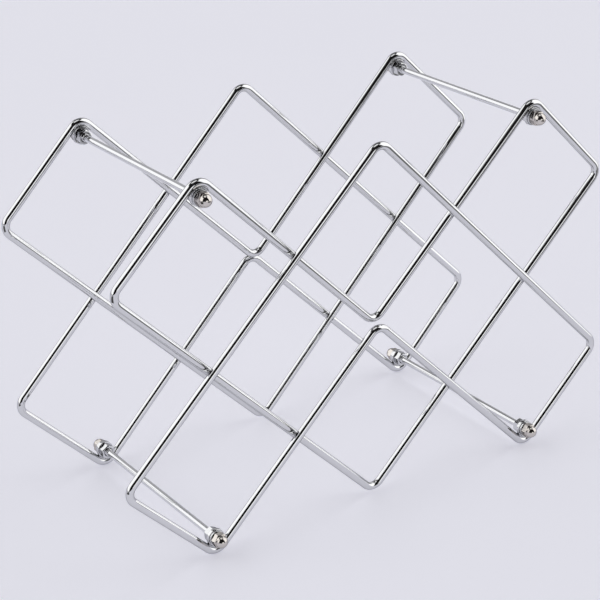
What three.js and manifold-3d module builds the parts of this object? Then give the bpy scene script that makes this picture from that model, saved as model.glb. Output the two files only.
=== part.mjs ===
// Counter-top wine rack of bent chromed wire: two lattice panels joined by four tie rods.
//
// Each panel is two equal closed wire loops, bent to a broad chevron. One has its point down (the vee), the
// other is the same loop turned upside down (the peak). They cross at right angles and leave eight diamond
// cells for bottles. The rack stands on the ends of its two peaks. Ring lugs in four corners of each panel
// take the tie rods. Each rod end carries a plain nut inside the lug, and a washer and an acorn nut outside.
//
// Millimetres. +X along the front, +Z up, the front panel faces -Y. The origin is on the table, under the
// middle of the rack.

import * as THREE from "three";
import Module from "manifold-3d";
import { mergeVertices } from "three/addons/utils/BufferGeometryUtils.js";

const wasm = await Module();
wasm.setup();

// ---- Driving dimensions --------------------------------------------------------------------------------

const WIRE_RADIUS = 3;
const BEND_RADIUS = 9; // centre line of every bend
const ARM_LENGTH = 300; // outer edge of a chevron arm, between sharp corners of the centre line
const ARM_WIDTH = 98.5; // across an arm, centre line to centre line
const VEE_LIFT = 2; // the vee's point is kept this far off the table, so that the rack does not rock
const CLEARANCE = 0.3; // left between pieces that touch or are welded

const LUG_RADIUS = 6.5;
const LUG_THICKNESS = 3;
const LUG_HOLE_RADIUS = 3.5;
const LUG_SPACING = 166; // front lugs to rear lugs, centre to centre

const ROD_SHANK_RADIUS = 2.7; // plain middle of a tie rod
const THREAD_RADIUS = 3; // M6 ends
const THREAD_LENGTH = 18;
const THREAD_CHAMFER = 0.6;

const NUT_ACROSS_FLATS = 10;
const NUT_HEIGHT = 5;
const NUT_BORE_RADIUS = 3.3;
const WASHER_RADIUS = 6;
const WASHER_THICKNESS = 1.6;
const ACORN_HEIGHT = 9.5; // whole acorn nut, along its axis
const ACORN_HEX_HEIGHT = 4.5;
const ACORN_DOME_RADIUS = 4.75;
const ACORN_BORE_DEPTH = 6.5;
const THREAD_IN_ACORN = 5.5;

const FOOT_DEPTH = 0.25; // how far the round wire would reach below its flat resting place

const WIRE_SIDES = 14; // sides of the wire's section: leaves a flat side facing up, down, in and out
const BEND_STEPS = 7; // an odd number leaves a level facet at the bottom of a bend
const ROUND_SIDES = 16;
const DOME_STEPS = 4;

// ---- Dimensions that follow ----------------------------------------------------------------------------

const LOOP_OFFSET = 2 * WIRE_RADIUS + CLEARANCE; // between the planes of the two crossing loops
const PANEL_HALF_HEIGHT = (ARM_LENGTH + ARM_WIDTH) / (2 * Math.SQRT2); // to the sharp corners
const END_CORNER_X = (ARM_LENGTH - ARM_WIDTH) / Math.SQRT2;
const LUG_INSET = Math.SQRT2 * (WIRE_RADIUS + CLEARANCE + LUG_RADIUS); // sharp corner to lug centre
const LUG_HALF_HEIGHT = PANEL_HALF_HEIGHT - LUG_INSET;

// The upper lugs sit in the inner loop and the lower lugs in the outer one, so equal rods lean each panel
// outward towards its top.
const PANEL_LEAN = Math.atan(LOOP_OFFSET / (2 * LUG_HALF_HEIGHT + VEE_LIFT));
const BEND_CUT = BEND_RADIUS * (Math.SQRT2 - 1); // sharp corner to the middle of its bend
const PANEL_CENTRE_HEIGHT =
  (PANEL_HALF_HEIGHT - BEND_CUT) * Math.cos(PANEL_LEAN) + WIRE_RADIUS - FOOT_DEPTH;
const PANEL_CENTRE_DEPTH = LUG_SPACING / 2 + LUG_HALF_HEIGHT * Math.sin(PANEL_LEAN);
const TOP_LUG_RISE = LUG_HALF_HEIGHT + VEE_LIFT; // along the panel, from its centre
const LUG_HEIGHTS = {
  top:
    PANEL_CENTRE_HEIGHT + TOP_LUG_RISE * Math.cos(PANEL_LEAN) + LOOP_OFFSET * Math.sin(PANEL_LEAN),
  bottom: PANEL_CENTRE_HEIGHT - LUG_HALF_HEIGHT * Math.cos(PANEL_LEAN),
};

// Along a rod, out from the middle plane of a lug
const WASHER_START = LUG_THICKNESS / 2 + CLEARANCE;
const ACORN_START = WASHER_START + WASHER_THICKNESS + CLEARANCE;
const ROD_HALF_LENGTH = LUG_SPACING / 2 + ACORN_START + THREAD_IN_ACORN;

// ---- Materials -----------------------------------------------------------------------------------------

const chromeWire = new THREE.MeshStandardMaterial({ color: 0xdfe1e6, roughness: 0.07, metalness: 1 });
const chromeRod = new THREE.MeshStandardMaterial({ color: 0xd9dbe0, roughness: 0.12, metalness: 1 });
const zincPlate = new THREE.MeshStandardMaterial({ color: 0xc4c5c8, roughness: 0.25, metalness: 1 });
const nickelPlate = new THREE.MeshStandardMaterial({ color: 0xd6cabb, roughness: 0.16, metalness: 1 });

// ---- Solids --------------------------------------------------------------------------------------------

// A closed geometry as a solid that can be joined and cut.
function toSolid(geometry) {
  const bare = geometry.index ? geometry.toNonIndexed() : geometry.clone();
  bare.deleteAttribute("normal");
  bare.deleteAttribute("uv");
  const merged = mergeVertices(bare, 1e-4);
  return new wasm.Manifold(
    new wasm.Mesh({
      numProp: 3,
      vertProperties: new Float32Array(merged.attributes.position.array),
      triVerts: new Uint32Array(merged.index.array),
    }),
  );
}

function toGeometry(solid) {
  const mesh = solid.getMesh();
  const geometry = new THREE.BufferGeometry();
  geometry.setAttribute("position", new THREE.BufferAttribute(mesh.vertProperties, 3));
  geometry.setIndex(new THREE.BufferAttribute(mesh.triVerts, 1));
  geometry.computeVertexNormals();
  return geometry;
}

// ---- Bent wire -----------------------------------------------------------------------------------------

// The centre line of a wire bent round a list of corners and closed on itself, in the XZ plane. Its
// parameter steps from station to station: several in each bend, and one straight run between bends.
class BentWireLine extends THREE.Curve {
  constructor(corners, radius, stepsPerBend) {
    super();
    this.stations = corners.flatMap((corner, i) => {
      const before = corners[(i + corners.length - 1) % corners.length];
      const after = corners[(i + 1) % corners.length];
      return bendStations(before, corner, after, radius, stepsPerBend);
    });
  }

  stationAt(u) {
    return this.stations[Math.round(u * this.stations.length) % this.stations.length];
  }

  getPointAt(u, target = new THREE.Vector3()) {
    return target.copy(this.stationAt(u).point);
  }

  getTangentAt(u, target = new THREE.Vector3()) {
    return target.copy(this.stationAt(u).tangent);
  }
}

// Points and directions along the round bend that replaces one right-angled corner.
function bendStations(before, corner, after, radius, steps) {
  const arriving = corner.clone().sub(before).normalize();
  const leaving = after.clone().sub(corner).normalize();
  const start = corner.clone().addScaledVector(arriving, -radius);
  const centre = start.clone().addScaledVector(leaving, radius);
  return Array.from({ length: steps + 1 }, (_, step) => {
    const angle = (step / steps) * (Math.PI / 2);
    return {
      point: centre
        .clone()
        .addScaledVector(leaving, -radius * Math.cos(angle))
        .addScaledVector(arriving, radius * Math.sin(angle)),
      tangent: new THREE.Vector3()
        .addScaledVector(arriving, Math.cos(angle))
        .addScaledVector(leaving, Math.sin(angle)),
    };
  });
}

// A corner given along the two wire directions: up to the right, and up to the left. The height is
// measured from the middle of the panel.
function latticeCorner(upRight, upLeft) {
  return new THREE.Vector3(
    (upRight - upLeft) / Math.SQRT2,
    0,
    (upRight + upLeft) / Math.SQRT2 - PANEL_HALF_HEIGHT,
  );
}

// One chevron loop, standing on its point. The tube runs all the way round, so it has no ends.
function chevronGeometry() {
  const corners = [
    latticeCorner(0, 0),
    latticeCorner(0, ARM_LENGTH),
    latticeCorner(ARM_WIDTH, ARM_LENGTH),
    latticeCorner(ARM_WIDTH, ARM_WIDTH),
    latticeCorner(ARM_LENGTH, ARM_WIDTH),
    latticeCorner(ARM_LENGTH, 0),
  ];
  const line = new BentWireLine(corners, BEND_RADIUS, BEND_STEPS);
  return new THREE.TubeGeometry(line, line.stations.length, WIRE_RADIUS, WIRE_SIDES, true);
}

// Gives the bends that reach the table a small level resting face.
function flattenFeet(wire) {
  wire.updateWorldMatrix(true, false);
  const block = new THREE.BoxGeometry(2 * ARM_LENGTH, 2 * ARM_LENGTH, 10);
  block.translate(0, 0, -5);
  block.applyMatrix4(wire.matrixWorld.clone().invert());
  wire.geometry = toGeometry(toSolid(wire.geometry).subtract(toSolid(block)));
}

// ---- Hardware ------------------------------------------------------------------------------------------

// A flat ring round the Y axis, from y = 0 to its thickness.
function ringGeometry(outerRadius, innerRadius, thickness) {
  const profile = [
    new THREE.Vector2(innerRadius, 0),
    new THREE.Vector2(outerRadius, 0),
    new THREE.Vector2(outerRadius, thickness),
    new THREE.Vector2(innerRadius, thickness),
    new THREE.Vector2(innerRadius, 0),
  ];
  return new THREE.LatheGeometry(profile, ROUND_SIDES);
}

// A hexagonal prism round the Y axis, with or without a bore, from y = 0 to its height.
function hexagonGeometry(height, boreRadius) {
  const cornerRadius = NUT_ACROSS_FLATS / Math.sqrt(3);
  const outline = new THREE.Shape();
  for (let corner = 0; corner < 6; corner += 1) {
    const angle = (corner * Math.PI) / 3;
    const draw = corner === 0 ? "moveTo" : "lineTo";
    outline[draw](cornerRadius * Math.cos(angle), cornerRadius * Math.sin(angle));
  }
  outline.closePath();
  if (boreRadius > 0) {
    const bore = new THREE.Path();
    bore.absarc(0, 0, boreRadius, 0, 2 * Math.PI, true);
    outline.holes.push(bore);
  }
  const prism = new THREE.ExtrudeGeometry(outline, {
    depth: height,
    bevelEnabled: false,
    curveSegments: ROUND_SIDES,
  });
  return prism.rotateX(-Math.PI / 2);
}

// An acorn nut round the Y axis: its open end at y = 0, a hexagon, then a domed cap over a blind bore.
function acornGeometry() {
  const straightEnd = ACORN_HEIGHT - ACORN_DOME_RADIUS;
  const profile = [
    new THREE.Vector2(0, ACORN_HEX_HEIGHT / 2),
    new THREE.Vector2(ACORN_DOME_RADIUS, ACORN_HEX_HEIGHT / 2),
  ];
  for (let step = 0; step < DOME_STEPS; step += 1) {
    const angle = (step / DOME_STEPS) * (Math.PI / 2);
    const radius = ACORN_DOME_RADIUS * Math.cos(angle);
    profile.push(new THREE.Vector2(radius, straightEnd + ACORN_DOME_RADIUS * Math.sin(angle)));
  }
  profile.push(new THREE.Vector2(0, ACORN_HEIGHT));
  const dome = new THREE.LatheGeometry(profile, ROUND_SIDES);
  const bore = new THREE.CylinderGeometry(NUT_BORE_RADIUS, NUT_BORE_RADIUS, 2 * ACORN_BORE_DEPTH, ROUND_SIDES);
  const hexagon = hexagonGeometry(ACORN_HEX_HEIGHT, 0);
  return toGeometry(toSolid(hexagon).add(toSolid(dome)).subtract(toSolid(bore)));
}

// A tie rod along the Y axis: a plain shank between two larger threaded ends with chamfered tips.
function rodGeometry() {
  const threadStart = ROD_HALF_LENGTH - THREAD_LENGTH;
  const half = [
    [ROD_SHANK_RADIUS, threadStart - (THREAD_RADIUS - ROD_SHANK_RADIUS)],
    [THREAD_RADIUS, threadStart],
    [THREAD_RADIUS, ROD_HALF_LENGTH - THREAD_CHAMFER],
    [THREAD_RADIUS - THREAD_CHAMFER, ROD_HALF_LENGTH],
    [0, ROD_HALF_LENGTH],
  ];
  const lower = half.map(([radius, y]) => new THREE.Vector2(radius, -y)).reverse();
  const upper = half.map(([radius, y]) => new THREE.Vector2(radius, y));
  return new THREE.LatheGeometry([...lower, ...upper], ROUND_SIDES);
}

// ---- Assembly ------------------------------------------------------------------------------------------

function place(parent, name, geometry, material) {
  const mesh = new THREE.Mesh(geometry, material);
  mesh.name = name;
  parent.add(mesh);
  return mesh;
}

const chevron = chevronGeometry();
const lugRing = ringGeometry(LUG_RADIUS, LUG_HOLE_RADIUS, LUG_THICKNESS);
lugRing.translate(0, -LUG_THICKNESS / 2, 0);
const tieRod = rodGeometry();
const innerNut = hexagonGeometry(NUT_HEIGHT, NUT_BORE_RADIUS);
const washer = ringGeometry(WASHER_RADIUS, NUT_BORE_RADIUS, WASHER_THICKNESS);
const acornNut = acornGeometry();

const SIDES = { left: -1, right: 1 };
const rack = new THREE.Group();

// The two panels: the rear one is the front one turned half round.
for (const [panelName, turn] of Object.entries({ front: 0, rear: Math.PI })) {
  const facing = new THREE.Group();
  facing.rotation.z = turn;
  rack.add(facing);

  const panel = new THREE.Group();
  panel.position.set(0, -PANEL_CENTRE_DEPTH, PANEL_CENTRE_HEIGHT);
  panel.rotation.x = PANEL_LEAN;
  facing.add(panel);

  const peak = place(panel, `${panelName}_peak_wire`, chevron, chromeWire);
  peak.rotation.y = Math.PI;

  flattenFeet(peak);

  const vee = place(panel, `${panelName}_vee_wire`, chevron, chromeWire);
  vee.position.set(0, LOOP_OFFSET, VEE_LIFT);

  for (const [sideName, side] of Object.entries(SIDES)) {
    // The rear panel is turned half round, so its own right-hand end is the rack's left.
    const x = (turn === 0 ? side : -side) * END_CORNER_X;
    const topLug = place(panel, `${panelName}_top_${sideName}_lug`, lugRing, chromeWire);
    topLug.position.set(x, LOOP_OFFSET, TOP_LUG_RISE);
    const bottomLug = place(panel, `${panelName}_bottom_${sideName}_lug`, lugRing, chromeWire);
    bottomLug.position.set(x, 0, -LUG_HALF_HEIGHT);
  }
}

// The four tie rods with their nuts and washers.
for (const [levelName, height] of Object.entries(LUG_HEIGHTS)) {
  for (const [sideName, side] of Object.entries(SIDES)) {
    const corner = `${levelName}_${sideName}`;
    const axis = new THREE.Group();
    axis.position.set(side * END_CORNER_X, 0, height);
    rack.add(axis);
    place(axis, `${corner}_tie_rod`, tieRod, chromeRod);

    for (const [endName, turn] of Object.entries({ front: Math.PI, rear: 0 })) {
      const end = new THREE.Group();
      end.rotation.z = turn;
      axis.add(end);
      const lugPlane = LUG_SPACING / 2;
      const nut = place(end, `${endName}_${corner}_inner_nut`, innerNut, zincPlate);
      nut.position.y = lugPlane - LUG_THICKNESS / 2 - CLEARANCE - NUT_HEIGHT;
      const ring = place(end, `${endName}_${corner}_washer`, washer, zincPlate);
      ring.position.y = lugPlane + WASHER_START;
      const acorn = place(end, `${endName}_${corner}_acorn_nut`, acornNut, nickelPlate);
      acorn.position.y = lugPlane + ACORN_START;
    }
  }
}

export default rack;
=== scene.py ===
"""Visual model of a chromed wire wine rack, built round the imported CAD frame.

Every CAD node is replaced by a finer piece of the same size in the same place: smooth bent wire, chamfered
nuts, domed cap nuts and threaded rod ends. Weld beads are added where pieces are joined. Lengths are metres.
"""

import math
import random

import bmesh
import bpy
from mathutils import Matrix, Vector, noise


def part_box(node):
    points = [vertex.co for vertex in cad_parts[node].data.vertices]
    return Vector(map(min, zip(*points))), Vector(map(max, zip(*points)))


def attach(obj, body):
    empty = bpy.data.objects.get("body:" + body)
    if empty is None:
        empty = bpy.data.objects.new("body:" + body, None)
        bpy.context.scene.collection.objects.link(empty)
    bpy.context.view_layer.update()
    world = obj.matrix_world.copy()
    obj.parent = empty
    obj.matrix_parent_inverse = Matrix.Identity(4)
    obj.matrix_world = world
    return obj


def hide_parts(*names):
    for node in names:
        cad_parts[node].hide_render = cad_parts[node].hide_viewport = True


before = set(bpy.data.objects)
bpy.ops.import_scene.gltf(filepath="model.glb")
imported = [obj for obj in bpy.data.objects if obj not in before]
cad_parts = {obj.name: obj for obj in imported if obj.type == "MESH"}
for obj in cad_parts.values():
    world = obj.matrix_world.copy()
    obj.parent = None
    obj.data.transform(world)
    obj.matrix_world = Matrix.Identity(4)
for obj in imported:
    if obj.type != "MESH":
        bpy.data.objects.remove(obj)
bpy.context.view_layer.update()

MM = 0.001
ROOT2 = math.sqrt(2)
random.seed(8)

# ---- Sizes, the same as in the CAD source --------------------------------------------------------------

WIRE_RADIUS = 3 * MM
BEND_RADIUS = 9 * MM
ARM_LENGTH = 300 * MM
ARM_WIDTH = 98.5 * MM
VEE_LIFT = 2 * MM
CLEARANCE = 0.3 * MM
FOOT_DEPTH = 0.25 * MM

LUG_RADIUS = 6.5 * MM
LUG_THICKNESS = 3 * MM
LUG_HOLE_RADIUS = 3.5 * MM
LUG_SPACING = 166 * MM

ROD_SHANK_RADIUS = 2.7 * MM
THREAD_RADIUS = 3 * MM
THREAD_LENGTH = 18 * MM
THREAD_CHAMFER = 0.6 * MM
THREAD_PITCH = 1 * MM
THREAD_DEPTH = 0.55 * MM

NUT_ACROSS_FLATS = 10 * MM
NUT_HEIGHT = 5 * MM
NUT_BORE_RADIUS = 3.3 * MM
WASHER_RADIUS = 6 * MM
WASHER_THICKNESS = 1.6 * MM
ACORN_HEIGHT = 9.5 * MM
ACORN_HEX_HEIGHT = 4.5 * MM
ACORN_DOME_RADIUS = 4.75 * MM
ACORN_BORE_DEPTH = 6.5 * MM
BORE_CHAMFER = 0.45 * MM

LOOP_OFFSET = 2 * WIRE_RADIUS + CLEARANCE
PANEL_HALF_HEIGHT = (ARM_LENGTH + ARM_WIDTH) / (2 * ROOT2)
LUG_INSET = ROOT2 * (WIRE_RADIUS + CLEARANCE + LUG_RADIUS)
LUG_HALF_HEIGHT = PANEL_HALF_HEIGHT - LUG_INSET
PANEL_LEAN = math.atan(LOOP_OFFSET / (2 * LUG_HALF_HEIGHT + VEE_LIFT))
BEND_CUT = BEND_RADIUS * (ROOT2 - 1)
PANEL_CENTRE_HEIGHT = (PANEL_HALF_HEIGHT - BEND_CUT) * math.cos(PANEL_LEAN) + WIRE_RADIUS - FOOT_DEPTH
PANEL_CENTRE_DEPTH = LUG_SPACING / 2 + LUG_HALF_HEIGHT * math.sin(PANEL_LEAN)

# ---- Fineness of the meshes ----------------------------------------------------------------------------

WIRE_SIDES = 32
BEND_STEPS = 18
RUN_STEP = 6 * MM
ROUND_SIDES = 48
SHARP_ANGLE = math.radians(28)
HEX_SIDES = 72
ROD_SIDES = 32
DOME_STEPS = 14
THREAD_ROWS_PER_TURN = 10
CARD_STEPS = 24
AXIS_GAP = 0.02 * MM  # the smallest ring, where a profile reaches the axis


# ---- Mesh helpers --------------------------------------------------------------------------------------


def make_piece(name, mesh_data, material, replaced=None, place=None):
    """Turns (vertices, faces, uvs or None) into an object that rides on the rack's one body."""
    vertices, faces, uvs = mesh_data
    mesh = bpy.data.meshes.new(name)
    mesh.from_pydata(vertices, [], faces)
    if uvs is not None:
        layer = mesh.uv_layers.new(name="UVMap")
        for polygon_uvs, polygon in zip(uvs, mesh.polygons):
            for loop_index, uv in zip(polygon.loop_indices, polygon_uvs):
                layer.data[loop_index].uv = uv
    mesh.validate()
    bm = bmesh.new()
    bm.from_mesh(mesh)
    bmesh.ops.recalc_face_normals(bm, faces=bm.faces)
    for edge in bm.edges:
        edge.smooth = edge.is_manifold and edge.calc_face_angle(0) < SHARP_ANGLE
    for face in bm.faces:
        face.smooth = True
    bm.to_mesh(mesh)
    bm.free()
    mesh.materials.append(material)
    piece = bpy.data.objects.new(name, mesh)
    bpy.context.scene.collection.objects.link(piece)
    if place is not None:
        piece.matrix_world = place
    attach(piece, "root")
    if replaced:
        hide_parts(replaced)


def joined(parts):
    """Several (vertices, faces, uvs) lists as one."""
    vertices, faces = [], []
    for part_vertices, part_faces, _ in parts:
        start = len(vertices)
        vertices.extend(part_vertices)
        faces.extend([index + start for index in face] for face in part_faces)
    return vertices, faces, None


def ring_grid(rings, closed):
    """Faces that join rings of equal length in turn. A closed grid also joins the last ring to the first."""
    sides = len(rings[0])
    vertices = [point for ring in rings for point in ring]
    count = len(rings)
    faces = []
    for i in range(count if closed else count - 1):
        here = i * sides
        after = ((i + 1) % count) * sides
        for j in range(sides):
            k = (j + 1) % sides
            faces.append([here + j, here + k, after + k, after + j])
    if not closed:
        faces.append(list(range(sides)))
        faces.append([(count - 1) * sides + j for j in range(sides)])
    return vertices, faces


def turned(rows, sides, closed):
    """A solid round the Y axis. Each row is (radius, height), either of which may depend on the angle."""

    def value(entry, angle):
        return entry(angle) if callable(entry) else entry

    rings = []
    for radius, height in rows:
        ring = []
        for j in range(sides):
            angle = 2 * math.pi * j / sides
            r = value(radius, angle)
            ring.append((r * math.cos(angle), value(height, angle), r * math.sin(angle)))
        rings.append(ring)
    vertices, faces = ring_grid(rings, closed)
    return vertices, faces, None


# ---- Bent wire loops -----------------------------------------------------------------------------------


def lattice_corner(up_right, up_left):
    """A point of the panel's plane, as (x, height above the panel's middle)."""
    return Vector(((up_right - up_left) / ROOT2, (up_right + up_left) / ROOT2 - PANEL_HALF_HEIGHT))


CHEVRON_CORNERS = [
    lattice_corner(0, 0),
    lattice_corner(0, ARM_LENGTH),
    lattice_corner(ARM_WIDTH, ARM_LENGTH),
    lattice_corner(ARM_WIDTH, ARM_WIDTH),
    lattice_corner(ARM_LENGTH, ARM_WIDTH),
    lattice_corner(ARM_LENGTH, 0),
]


def loop_stations(corners):
    """Points, directions and bend amounts (0 on a straight run, 1 in mid-bend) round a closed wire."""
    stations = []
    count = len(corners)
    for i, corner in enumerate(corners):
        before = corners[i - 1]
        after = corners[(i + 1) % count]
        arriving = (corner - before).normalized()
        leaving = (after - corner).normalized()
        start = corner - arriving * BEND_RADIUS
        centre = start + leaving * BEND_RADIUS
        for step in range(BEND_STEPS + 1):
            angle = step / BEND_STEPS * math.pi / 2
            sideways = leaving * math.cos(angle) - arriving * math.sin(angle)
            point = centre - sideways * BEND_RADIUS
            direction = arriving * math.cos(angle) + leaving * math.sin(angle)
            stations.append((point, direction, math.sin(step / BEND_STEPS * math.pi) ** 2))
        run_start = corner + leaving * BEND_RADIUS
        run_length = (after - corner).length - 2 * BEND_RADIUS
        steps = max(2, round(run_length / RUN_STEP))
        for step in range(1, steps):
            stations.append((run_start + leaving * run_length * step / steps, leaving, 0.0))
    return stations


BEND_THINNING = 0.03  # the wire is drawn a little flat where it is bent


def wire_mesh(placing):
    """The chevron loop as a fine tube, put in place by a function from (x, out, height) to the rack."""
    rings = []
    lengths = [0.0]
    stations = loop_stations(CHEVRON_CORNERS)
    for i, (point, direction, bend) in enumerate(stations):
        in_plane = WIRE_RADIUS * (1 - BEND_THINNING * bend)
        sideways = Vector((-direction.y, direction.x))
        ring = []
        for j in range(WIRE_SIDES):
            angle = 2 * math.pi * j / WIRE_SIDES
            flat = point + sideways * in_plane * math.cos(angle)
            ring.append(placing(flat.x, WIRE_RADIUS * math.sin(angle), flat.y))
        rings.append(ring)
        following = stations[(i + 1) % len(stations)][0]
        lengths.append(lengths[-1] + (following - point).length)
    vertices, faces = ring_grid(rings, closed=True)
    girth = 2 * math.pi * WIRE_RADIUS
    uvs = []
    for i in range(len(rings)):
        for j in range(WIRE_SIDES):
            low = girth * j / WIRE_SIDES
            high = girth * (j + 1) / WIRE_SIDES
            uvs.append(
                [(lengths[i], low), (lengths[i], high), (lengths[i + 1], high), (lengths[i + 1], low)]
            )
    return vertices, faces, uvs


def panel_placing(turn):
    """From a panel's own (x, depth, height) to the rack."""
    return (
        Matrix.Rotation(turn, 4, "Z")
        @ Matrix.Translation((0, -PANEL_CENTRE_DEPTH, PANEL_CENTRE_HEIGHT))
        @ Matrix.Rotation(PANEL_LEAN, 4, "X")
    )


def peak_point(placing):
    return lambda x, out, height: placing @ Vector((-x, out, -height))


def vee_point(placing):
    return lambda x, out, height: placing @ Vector((x, out + LOOP_OFFSET, height + VEE_LIFT))


# ---- Welds ---------------------------------------------------------------------------------------------


def crossing_points():
    """Where the peak's runs cross the vee's, in a panel's own (x, height)."""
    vee = [corner + Vector((0, VEE_LIFT)) for corner in CHEVRON_CORNERS]
    peak = [-corner for corner in CHEVRON_CORNERS]
    found = []
    for i, a in enumerate(vee):
        b = vee[(i + 1) % len(vee)]
        for j, c in enumerate(peak):
            d = peak[(j + 1) % len(peak)]
            along, across = b - a, d - c
            turn = along.x * across.y - along.y * across.x
            if abs(turn) < 1e-9:
                continue
            gap = c - a
            s = (gap.x * across.y - gap.y * across.x) / turn
            t = (gap.x * along.y - gap.y * along.x) / turn
            clear_a, clear_c = BEND_RADIUS / along.length, BEND_RADIUS / across.length
            if clear_a < s < 1 - clear_a and clear_c < t < 1 - clear_c:
                found.append((a + along * s, along.normalized(), across.normalized()))
    return found


WELD_WAIST = 1.5 * MM
WELD_FLARE = 2.35 * MM
WELD_SIDES = 28
WELD_ROWS = 8
WELD_SINK = 0.25 * MM


def crossing_weld(place, centre, vee_direction, peak_direction):
    """The collar of metal pressed out between two crossed wires: a waist that flares onto both."""
    waist = WELD_WAIST * random.uniform(0.92, 1.1)
    seed = Vector((random.uniform(0, 50), random.uniform(0, 50), 0))
    middle = LOOP_OFFSET / 2
    rings = []
    for row in range(-WELD_ROWS, WELD_ROWS + 1):
        t = row / WELD_ROWS
        wire = vee_direction if t > 0 else peak_direction
        ring = []
        for j in range(WELD_SIDES):
            angle = 2 * math.pi * j / WELD_SIDES
            outward = Vector((math.cos(angle), math.sin(angle)))
            lump = 1 + 0.09 * noise.noise(seed + Vector((outward.x, outward.y, t)) * 1.6)
            radius = (waist + (WELD_FLARE - waist) * t * t) * lump
            off_axis = abs(outward.x * wire.y - outward.y * wire.x) * radius
            fall = WIRE_RADIUS - math.sqrt(WIRE_RADIUS**2 - off_axis**2)
            reach = CLEARANCE / 2 + fall + WELD_SINK
            spot = centre + outward * radius
            ring.append(place @ Vector((spot.x, middle + t * reach, spot.y)))
        rings.append(ring)
    vertices, faces = ring_grid(rings, closed=False)
    return vertices, faces, None


LUG_BEAD_RADIUS = 0.75 * MM
LUG_BEAD_ARC = math.radians(118)
LUG_BEAD_STEPS = 30
LUG_BEAD_SIDES = 12
LUG_BEAD_END = 0.12  # share of the full size that is left at the ends of a bead


def lug_weld(place, centre, upward, depth, face):
    """A bead that lies in the groove between a ring lug and its bend, on one face of the lug."""
    seed = Vector((random.uniform(0, 50), random.uniform(0, 50), 0))
    path_radius = LUG_RADIUS + 0.35 * MM
    rings = []
    for step in range(LUG_BEAD_STEPS + 1):
        share = step / LUG_BEAD_STEPS
        angle = (share - 0.5) * LUG_BEAD_ARC
        outward = Vector((math.sin(angle), upward * math.cos(angle)))
        taper = math.sin(math.pi * share) ** 0.35 if 0 < share < 1 else LUG_BEAD_END
        ripple = 1 + 0.07 * math.sin(share * 60) + 0.12 * noise.noise(seed + Vector((share * 5, 0, 0)))
        size = LUG_BEAD_RADIUS * max(taper, LUG_BEAD_END) * ripple
        ring = []
        for j in range(LUG_BEAD_SIDES):
            turn = 2 * math.pi * j / LUG_BEAD_SIDES
            spot = centre + outward * (path_radius + size * math.cos(turn))
            out = depth + face * (LUG_THICKNESS / 2 - 0.1 * MM) + size * math.sin(turn)
            ring.append(place @ Vector((spot.x, out, spot.y)))
        rings.append(ring)
    vertices, faces = ring_grid(rings, closed=False)
    return vertices, faces, None


# ---- Turned and hexagonal hardware ---------------------------------------------------------------------

EDGE = 0.3 * MM  # rounding of turned edges
HEX_FACE_RADIUS = 0.95 * NUT_ACROSS_FLATS / 2
CHAMFER_SLOPE = math.tan(math.radians(30))
HEX_CORNER_RADIUS = 0.985 * NUT_ACROSS_FLATS / math.sqrt(3)


def hexagon_radius(angle):
    """Distance from the axis to a hexagon whose corners are slightly blunted."""
    from_corner = abs((angle + math.pi / 6) % (math.pi / 3) - math.pi / 6)
    return min(NUT_ACROSS_FLATS / 2 / math.cos(math.pi / 6 - from_corner), HEX_CORNER_RADIUS)


def chamfer_depth(angle):
    """How far from the end face the chamfer's cone leaves the hexagon."""
    return max(0.0, hexagon_radius(angle) - HEX_FACE_RADIUS) * CHAMFER_SLOPE


def ring_rows(outer, inner, thickness):
    """Profile of a flat ring with rounded edges, from its inner edge round to the start again."""
    rows = []
    corners = [
        (outer - EDGE, EDGE, -90),
        (outer - EDGE, thickness - EDGE, 0),
        (inner + EDGE, thickness - EDGE, 90),
        (inner + EDGE, EDGE, 180),
    ]
    for centre_radius, centre_height, first in corners:
        for step in range(5):
            turn = math.radians(first + step * 90 / 4)
            rows.append((centre_radius + EDGE * math.cos(turn), centre_height + EDGE * math.sin(turn)))
    return rows


def nut_mesh():
    bore_edge = NUT_BORE_RADIUS + BORE_CHAMFER
    rows = [
        (bore_edge, 0),
        (HEX_FACE_RADIUS, 0),
        (hexagon_radius, chamfer_depth),
        (hexagon_radius, lambda angle: NUT_HEIGHT - chamfer_depth(angle)),
        (HEX_FACE_RADIUS, NUT_HEIGHT),
        (bore_edge, NUT_HEIGHT),
        (NUT_BORE_RADIUS, NUT_HEIGHT - BORE_CHAMFER),
        (NUT_BORE_RADIUS, BORE_CHAMFER),
    ]
    return turned(rows, HEX_SIDES, closed=True)


def acorn_mesh():
    """A cap nut: blind bore, hexagon, a fine shoulder and a domed cap."""
    dome_start = ACORN_HEIGHT - ACORN_DOME_RADIUS
    shoulder = ACORN_HEX_HEIGHT + 0.12 * MM
    rows = [
        (AXIS_GAP, ACORN_BORE_DEPTH),
        (NUT_BORE_RADIUS, ACORN_BORE_DEPTH),
        (NUT_BORE_RADIUS, BORE_CHAMFER),
        (NUT_BORE_RADIUS + BORE_CHAMFER, 0),
        (HEX_FACE_RADIUS, 0),
        (hexagon_radius, chamfer_depth),
        (hexagon_radius, lambda angle: ACORN_HEX_HEIGHT - chamfer_depth(angle)),
        (HEX_FACE_RADIUS, ACORN_HEX_HEIGHT),
        (ACORN_DOME_RADIUS - 0.25 * MM, ACORN_HEX_HEIGHT),
        (ACORN_DOME_RADIUS - 0.2 * MM, shoulder),
    ]
    for step in range(DOME_STEPS):
        angle = step / DOME_STEPS * math.pi / 2
        radius = (ACORN_DOME_RADIUS - 0.05 * MM) * math.cos(angle)
        rows.append((radius, dome_start + 0.02 * MM + (ACORN_DOME_RADIUS - 0.02 * MM) * math.sin(angle)))
    rows.append((AXIS_GAP, ACORN_HEIGHT))
    return turned(rows, HEX_SIDES, closed=False)


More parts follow.
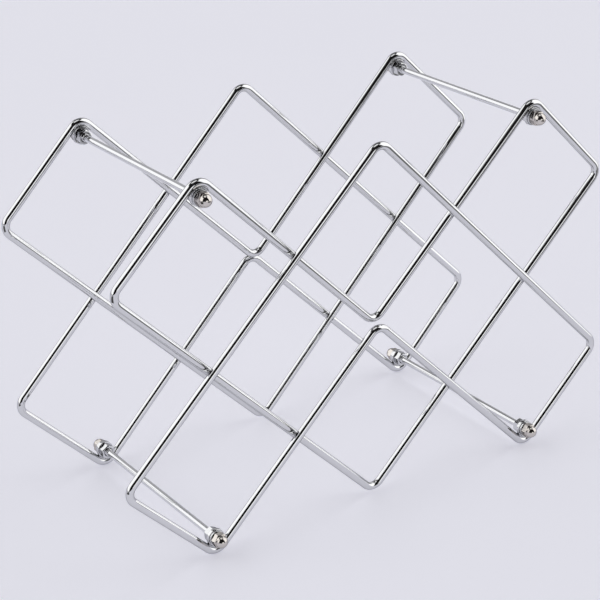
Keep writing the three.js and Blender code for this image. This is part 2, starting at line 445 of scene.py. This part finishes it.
def rod_mesh(half_length):
    """A plain shank between two rolled threads with chamfered tips."""
    thread_start = half_length - THREAD_LENGTH
    rise = THREAD_RADIUS - ROD_SHANK_RADIUS

    def thread_radius(height):
        def at(angle):
            turn = (height / THREAD_PITCH - angle / (2 * math.pi)) % 1.0
            tooth = min(1.0, max(0.0, 1.35 * (1 - abs(2 * turn - 1) * 1.15)))
            fade = min(1.0, (abs(height) - thread_start + rise) / (1.5 * THREAD_PITCH))
            tip = min(0.0, half_length - THREAD_CHAMFER - abs(height))
            root = THREAD_RADIUS - THREAD_DEPTH * fade
            return max(0.4 * THREAD_RADIUS, min(root + THREAD_DEPTH * fade * tooth, THREAD_RADIUS + tip))

        return at

    end_rows = []
    height = thread_start
    while height < half_length - 1e-9:
        end_rows.append((thread_radius(height), height))
        height += THREAD_PITCH / THREAD_ROWS_PER_TURN
    upper = [(ROD_SHANK_RADIUS, thread_start * share) for share in (0, 0.25, 0.5, 0.75)]
    upper.append((ROD_SHANK_RADIUS, thread_start - rise))
    upper.extend(end_rows)
    upper.append((THREAD_RADIUS - THREAD_CHAMFER, half_length))
    upper.append((AXIS_GAP, half_length))
    lower = []
    for radius, level in reversed(upper[1:]):
        mirrored = thread_radius(-level) if callable(radius) else radius
        lower.append((mirrored, -level))
    return turned(lower + upper, ROD_SIDES, closed=False)


# ---- Materials -----------------------------------------------------------------------------------------


def new_material(name):
    material = bpy.data.materials.new(name)
    material.use_nodes = True
    tree = material.node_tree
    tree.nodes.clear()
    output = tree.nodes.new("ShaderNodeOutputMaterial")
    shader = tree.nodes.new("ShaderNodeBsdfPrincipled")
    tree.links.new(shader.outputs["BSDF"], output.inputs["Surface"])
    return material, tree, shader


def noise_node(tree, vector, scale, detail=3.0, roughness=0.55):
    node = tree.nodes.new("ShaderNodeTexNoise")
    node.inputs["Scale"].default_value = scale
    node.inputs["Detail"].default_value = detail
    node.inputs["Roughness"].default_value = roughness
    tree.links.new(vector, node.inputs["Vector"])
    return node.outputs["Fac"]


def ranged(tree, source, low, high, from_low=0.3, from_high=0.7):
    node = tree.nodes.new("ShaderNodeMapRange")
    node.inputs["From Min"].default_value = from_low
    node.inputs["From Max"].default_value = from_high
    node.inputs["To Min"].default_value = low
    node.inputs["To Max"].default_value = high
    tree.links.new(source, node.inputs["Value"])
    return node.outputs["Result"]


def blended_colour(tree, factor, first, second):
    node = tree.nodes.new("ShaderNodeMix")
    node.data_type = "RGBA"
    node.inputs["A"].default_value = (*first, 1)
    node.inputs["B"].default_value = (*second, 1)
    tree.links.new(factor, node.inputs["Factor"])
    return node.outputs["Result"]


def summed(tree, first, second):
    node = tree.nodes.new("ShaderNodeMath")
    node.operation = "ADD"
    tree.links.new(first, node.inputs[0])
    tree.links.new(second, node.inputs[1])
    return node.outputs["Value"]


def bump(tree, height, strength, distance, before=None):
    node = tree.nodes.new("ShaderNodeBump")
    node.inputs["Strength"].default_value = strength
    node.inputs["Distance"].default_value = distance
    tree.links.new(height, node.inputs["Height"])
    if before is not None:
        tree.links.new(before, node.inputs["Normal"])
    return node.outputs["Normal"]


def stretched(tree, vector, scale):
    node = tree.nodes.new("ShaderNodeMapping")
    node.inputs["Scale"].default_value = scale
    tree.links.new(vector, node.inputs["Vector"])
    return node.outputs["Vector"]


def axis_distance(tree, vector):
    """Distance from the piece's Y axis, with the height kept, for marks left by turning."""
    split = tree.nodes.new("ShaderNodeSeparateXYZ")
    tree.links.new(vector, split.inputs["Vector"])
    flat = tree.nodes.new("ShaderNodeCombineXYZ")
    tree.links.new(split.outputs["X"], flat.inputs["X"])
    tree.links.new(split.outputs["Z"], flat.inputs["Y"])
    length = tree.nodes.new("ShaderNodeVectorMath")
    length.operation = "LENGTH"
    tree.links.new(flat.outputs["Vector"], length.inputs[0])
    profile = tree.nodes.new("ShaderNodeCombineXYZ")
    tree.links.new(length.outputs["Value"], profile.inputs["X"])
    tree.links.new(split.outputs["Y"], profile.inputs["Y"])
    return profile.outputs["Vector"]


def plated(name, dull, bright, smooth, worn, ripple, marks=None, rim=(1.0, 1.0, 1.0)):
    """Plated metal: colour and roughness vary in soft patches, and the surface ripples slightly.

    marks is None, "drawn" for fine lines along a wire, or "turned" for rings round an axis.
    """
    material, tree, shader = new_material(name)
    shader.inputs["Metallic"].default_value = 1.0
    shader.inputs["Specular Tint"].default_value = (*rim, 1)
    coordinates = tree.nodes.new("ShaderNodeTexCoord")
    here = coordinates.outputs["Object"]
    patches = noise_node(tree, here, 55, 4)
    smears = noise_node(tree, here, 240, 3)
    tree.links.new(blended_colour(tree, patches, dull, bright), shader.inputs["Base Color"])
    gloss = ranged(tree, patches, smooth, worn)
    gloss = summed(tree, gloss, ranged(tree, smears, 0.0, (worn - smooth) * 0.5))
    if marks == "drawn":
        fine = noise_node(tree, stretched(tree, coordinates.outputs["UV"], (9, 2600, 1)), 1, 2)
    elif marks == "turned":
        fine = noise_node(tree, stretched(tree, axis_distance(tree, here), (5200, 900, 1)), 1, 2)
    else:
        fine = noise_node(tree, here, 1900, 2)
    gloss = summed(tree, gloss, ranged(tree, fine, 0.0, (worn - smooth) * 0.6, 0.45, 0.75))
    tree.links.new(gloss, shader.inputs["Roughness"])
    waves = noise_node(tree, here, 95, 2)
    normal = bump(tree, waves, ripple, 0.4 * MM)
    normal = bump(tree, fine, 0.05, 0.02 * MM, normal)
    tree.links.new(normal, shader.inputs["Normal"])
    return material


CHROME_RIM = (0.3, 0.3, 0.32)

wire_chrome = plated(
    "wire_chrome", (0.700, 0.703, 0.715), (0.735, 0.738, 0.748), 0.008, 0.025, 0.03, "drawn", CHROME_RIM
)
rod_chrome = plated(
    "rod_chrome", (0.675, 0.679, 0.698), (0.715, 0.719, 0.735), 0.05, 0.11, 0.05, "turned"
)
zinc_plate = plated(
    "zinc_plate", (0.640, 0.648, 0.660), (0.720, 0.725, 0.735), 0.06, 0.14, 0.10, "turned", CHROME_RIM
)
nickel_plate = plated(
    "nickel_plate", (0.610, 0.575, 0.540), (0.690, 0.650, 0.615), 0.04, 0.10, 0.06, "turned", CHROME_RIM
)
weld_chrome = plated(
    "weld_chrome", (0.560, 0.560, 0.570), (0.660, 0.660, 0.670), 0.08, 0.20, 0.35
)

# ---- The rack ------------------------------------------------------------------------------------------

PANELS = {"front": 0.0, "rear": math.pi}
LEVELS = ("top", "bottom")
SIDES = ("left", "right")


washer_mesh = turned(ring_rows(WASHER_RADIUS, NUT_BORE_RADIUS, WASHER_THICKNESS), ROUND_SIDES, True)

# Each fitting: kind, mesh, material, slot, height along the rod.
FITTINGS = (
    ("inner_nut", nut_mesh(), zinc_plate, "zinc_plate", NUT_HEIGHT),
    ("washer", washer_mesh, zinc_plate, "zinc_plate", WASHER_THICKNESS),
    ("acorn_nut", acorn_mesh(), nickel_plate, "nickel_plate", ACORN_HEIGHT),
)


def centre_of(node):
    low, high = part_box(node)
    return (Vector(low) + Vector(high)) / 2


for panel_name, turn in PANELS.items():
    place = panel_placing(turn)
    for shape, point_function in (("peak", peak_point), ("vee", vee_point)):
        node = f"{panel_name}_{shape}_wire"
        make_piece(
            f"{node}_bent",
            wire_mesh(point_function(place)),
            wire_chrome,
            node,
        )

    beads = [crossing_weld(place, *crossing) for crossing in crossing_points()]
    end_corner_x = (ARM_LENGTH - ARM_WIDTH) / ROOT2
    for level in LEVELS:
        for side in (-1, 1):
            upward = 1 if level == "top" else -1
            depth = LOOP_OFFSET if level == "top" else 0.0
            rise = LUG_HALF_HEIGHT + VEE_LIFT if level == "top" else -LUG_HALF_HEIGHT
            for face in (-1, 1):
                beads.append(lug_weld(place, Vector((side * end_corner_x, rise)), upward, depth, face))
    make_piece(f"{panel_name}_welds", joined(beads), weld_chrome)

    lug_rows = ring_rows(LUG_RADIUS, LUG_HOLE_RADIUS, LUG_THICKNESS)
    lug = turned([(radius, height - LUG_THICKNESS / 2) for radius, height in lug_rows], ROUND_SIDES, True)
    leaning = place.to_3x3().to_4x4()
    facing = Matrix.Rotation(turn + math.pi, 4, "Z")
    for level in LEVELS:
        for side in SIDES:
            corner = f"{level}_{side}"
            node = f"{panel_name}_{corner}_lug"
            make_piece(
                f"{node}_ring",
                lug,
                wire_chrome,
                node,
                Matrix.Translation(centre_of(node)) @ leaning,
            )
            for kind, mesh_data, material, slot, height in FITTINGS:
                node = f"{panel_name}_{corner}_{kind}"
                spin = Matrix.Rotation(random.uniform(0, math.pi / 3), 4, "Y")
                base = Matrix.Translation((0, -height / 2, 0))
                make_piece(
                    f"{node}_fine",
                    mesh_data,
                    material,
                    node,
                    Matrix.Translation(centre_of(node)) @ facing @ base @ spin,
                )

for level in LEVELS:
    for side in SIDES:
        node = f"{level}_{side}_tie_rod"
        low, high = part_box(node)
        make_piece(
            f"{node}_threaded",
            rod_mesh((high[1] - low[1]) / 2),
            rod_chrome,
            node,
            Matrix.Translation(centre_of(node)),
        )

# ---- Studio --------------------------------------------------------------------------------------------

FLOOR_HALF = 14.0
FLOOR_GLOW = 0.352


def floor_material():
    material, tree, shader = new_material("seamless_paper")
    here = tree.nodes.new("ShaderNodeTexCoord").outputs["Object"]
    mottle = noise_node(tree, here, 1.2, 2)
    tree.links.new(
        blended_colour(tree, mottle, (0.61, 0.61, 0.665), (0.63, 0.63, 0.685)),
        shader.inputs["Base Color"],
    )
    shader.inputs["Roughness"].default_value = 0.95
    shader.inputs["Specular IOR Level"].default_value = 0.1
    shader.inputs["Emission Color"].default_value = (0.975, 0.970, 1.065, 1)
    shader.inputs["Emission Strength"].default_value = FLOOR_GLOW
    return material


def stage_sheet(name, vertices, faces, material):
    mesh = bpy.data.meshes.new(name)
    mesh.from_pydata(vertices, [], faces)
    mesh.materials.append(material)
    sheet = bpy.data.objects.new(name, mesh)
    bpy.context.scene.collection.objects.link(sheet)
    return sheet


floor_level = -FOOT_DEPTH
stage_sheet(
    "floor",
    [
        (-FLOOR_HALF, -FLOOR_HALF, floor_level),
        (FLOOR_HALF, -FLOOR_HALF, floor_level),
        (FLOOR_HALF, FLOOR_HALF, floor_level),
        (-FLOOR_HALF, FLOOR_HALF, floor_level),
    ],
    [[0, 1, 2, 3]],
    floor_material(),
)


def only_in_reflections(thing):
    """Leaves an object to be seen in the chrome and nowhere else."""
    thing.visible_camera = False
    thing.visible_diffuse = False
    thing.visible_shadow = False
    thing.visible_transmission = False


def glowing_material(name, base, glow, light=(1, 1, 1)):
    """A matt card that also gives off a little light of its own."""
    material, tree, shader = new_material(name)
    here = tree.nodes.new("ShaderNodeTexCoord").outputs["Object"]
    patches = noise_node(tree, here, 6, 2)
    dim = tuple(0.94 * channel for channel in base)
    tree.links.new(blended_colour(tree, patches, dim, base), shader.inputs["Base Color"])
    shader.inputs["Roughness"].default_value = 1.0
    shader.inputs["Specular IOR Level"].default_value = 0.0
    shader.inputs["Emission Color"].default_value = (*light, 1)
    shader.inputs["Emission Strength"].default_value = glow
    return material


def heading_point(radius, height, heading):
    """A point at a heading counted in degrees from the back, turning towards the right."""
    return (radius * math.sin(math.radians(heading)), radius * math.cos(math.radians(heading)), height)


def curved_card(name, headings, near_edge, far_edge, material):
    """A card over a range of headings, between two edges that are each given as (radius, height)."""
    first, last = headings
    stops = [first + (last - first) * step / CARD_STEPS for step in range(CARD_STEPS + 1)]
    vertices = [heading_point(*near_edge, heading) for heading in stops]
    vertices += [heading_point(*far_edge, heading) for heading in stops]
    faces = [[i, i + 1, CARD_STEPS + 2 + i, CARD_STEPS + 1 + i] for i in range(CARD_STEPS)]
    return stage_sheet(name, vertices, faces, material)


def only_seen_directly(thing):
    """Leaves an object to be seen by the camera, without a reflection, a shadow or any light from it."""
    thing.visible_glossy = False
    thing.visible_diffuse = False
    thing.visible_shadow = False
    thing.visible_transmission = False


# Each card: name, headings, near edge, far edge, material.
REFLECTION_CARDS = (
    # In front of the rack a dim card lies on the floor, seen only in the chrome: a painted reflection of a
    # dim room floor, while the floor that the camera sees there stays pale.
    (
        "painted_dim_floor_reflection",
        (121, 176),
        (0.55, 0.001),
        (3.2, 0.001),
        glowing_material("painted_reflection_dim_card", (0.05, 0.05, 0.055), 0.16),
    ),
    # On the left a dark card lies on the floor, seen only in the chrome: it gives the bends on that side a
    # painted reflection of a dark floor.
    (
        "painted_dark_floor_reflection",
        (-120, -78),
        (0.48, 0.001),
        (3.2, 0.001),
        glowing_material("painted_reflection_dark_card", (0.03, 0.03, 0.033), 0.06),
    ),
    # On the right a bright card stands on the table, seen only in the chrome and lighting nothing: a painted
    # highlight.
    (
        "painted_highlight_side_panel",
        (58, 124),
        (0.95, 0.0),
        (0.95, 0.34),
        glowing_material("painted_highlight_card", (0.05, 0.05, 0.05), 1.45),
    ),
)
for card in REFLECTION_CARDS:
    only_in_reflections(curved_card(*card))

# A pale wall all round, so that a low view sees the same plain studio above the floor.
WALL_RADIUS = 13.5
WALL_HEIGHT = 12.0
WALL_LIGHT = (0.745, 0.745, 0.815)
only_seen_directly(
    curved_card(
        "backdrop",
        (-180, 180),
        (WALL_RADIUS, floor_level),
        (WALL_RADIUS, WALL_HEIGHT),
        glowing_material("backdrop_paper", (0.02, 0.02, 0.02), 1.0, WALL_LIGHT),
    )
)


def ramp(tree, value, from_value, to_value):
    """Rises smoothly from 0 at one value to 1 at the other."""
    node = tree.nodes.new("ShaderNodeMapRange")
    node.interpolation_type = "SMOOTHSTEP"
    node.inputs["From Min"].default_value = from_value
    node.inputs["From Max"].default_value = to_value
    tree.links.new(value, node.inputs["Value"])
    return node.outputs["Result"]


def math_node(tree, operation, *values):
    node = tree.nodes.new("ShaderNodeMath")
    node.operation = operation
    for socket, value in zip(node.inputs, values):
        if isinstance(value, float):
            socket.default_value = value
        else:
            tree.links.new(value, socket)
    return node.outputs["Value"]


def light_box(tree, angles, below, box):
    """Blends one soft-edged panel of light, given in degrees round and above the rack, over what is there."""
    heading, height = angles
    centre, half_width, low, high, softness, colour = box
    off = math_node(tree, "SUBTRACT", heading, math.radians(centre))
    off = math_node(tree, "ABSOLUTE", math_node(tree, "WRAP", off, math.pi, -math.pi))
    soft = math.radians(softness) / 2
    half = math.radians(half_width)
    sideways = ramp(tree, off, half + soft, half - soft)
    upward = ramp(tree, height, math.radians(low) - soft, math.radians(low) + soft)
    downward = ramp(tree, height, math.radians(high) + soft, math.radians(high) - soft)
    mask = math_node(tree, "MULTIPLY", math_node(tree, "MULTIPLY", sideways, upward), downward)
    mix = tree.nodes.new("ShaderNodeMix")
    mix.data_type = "RGBA"
    tree.links.new(mask, mix.inputs["Factor"])
    tree.links.new(below, mix.inputs["A"])
    mix.inputs["B"].default_value = (*colour, 1)
    return mix.outputs["Result"]


def grey(level, blue=1.0):
    return (level, level, level * blue)


# Panels of light round the rack: heading of the middle (0 is the back, 90 the right), half width, lowest and
# highest elevation, softness of the edges, all in degrees, and the brightness.
LIGHT_BOXES = (
    (30, 48, -4, 42, 14, grey(0.50, 1.03)),  # pale sweep behind the rack
    (-55, 50, 3, 55, 7, grey(1.38)),  # large soft box, left and back
    (102, 42, -6, 61, 8, grey(1.45)),  # tall soft box on the right
    (-178, 14, -6, 13, 6, grey(1.36)),  # strip in front
    (0, 180, 73, 100, 6, grey(1.0)),  # lamp straight above
)
ROOM_BRIGHTNESS = 0.012

world = bpy.data.worlds.new("studio")
bpy.context.scene.world = world
world.use_nodes = True
sky = world.node_tree
sky.nodes.clear()
sky_output = sky.nodes.new("ShaderNodeOutputWorld")
sky_light = sky.nodes.new("ShaderNodeBackground")
sky.links.new(sky_light.outputs["Background"], sky_output.inputs["Surface"])
sky_axes = sky.nodes.new("ShaderNodeSeparateXYZ")
sky.links.new(sky.nodes.new("ShaderNodeTexCoord").outputs["Generated"], sky_axes.inputs["Vector"])
sky_angles = (
    math_node(sky, "ARCTAN2", sky_axes.outputs["X"], sky_axes.outputs["Y"]),
    math_node(sky, "ARCSINE", sky_axes.outputs["Z"]),
)
room = sky.nodes.new("ShaderNodeRGB")
room.outputs["Color"].default_value = (*grey(ROOM_BRIGHTNESS), 1)
sky_colour = room.outputs["Color"]
for box in LIGHT_BOXES:
    sky_colour = light_box(sky, sky_angles, sky_colour, box)
sky.links.new(sky_colour, sky_light.inputs["Color"])
sky_light.inputs["Strength"].default_value = 1.0

# ---- Camera --------------------------------------------------------------------------------------------

SENSOR_WIDTH = 36.0
FOCAL_LENGTH = 109.15
CAMERA_PLACE = Vector((-0.70377, -1.05853, 0.67212))
CAMERA_YAW = math.radians(33.208)
CAMERA_PITCH = math.radians(23.057)
CAMERA_ROLL = math.radians(-1.52)

camera_data = bpy.data.cameras.new("camera")
camera_data.sensor_width = SENSOR_WIDTH
camera_data.lens = FOCAL_LENGTH
camera_data.clip_start = 0.05
camera_data.clip_end = 60.0
camera = bpy.data.objects.new("camera", camera_data)
bpy.context.scene.collection.objects.link(camera)
bpy.context.scene.camera = camera
camera_turn = (
    Matrix.Rotation(-CAMERA_YAW, 4, "Z")
    @ Matrix.Rotation(math.pi / 2 - CAMERA_PITCH, 4, "X")
    @ Matrix.Rotation(CAMERA_ROLL, 4, "Z")
)
camera.matrix_world = Matrix.Translation(CAMERA_PLACE) @ camera_turn

bpy.context.scene.view_settings.view_transform = "Standard"

# ---- Finish --------------------------------------------------------------------------------------------

bpy.context.view_layer.update()
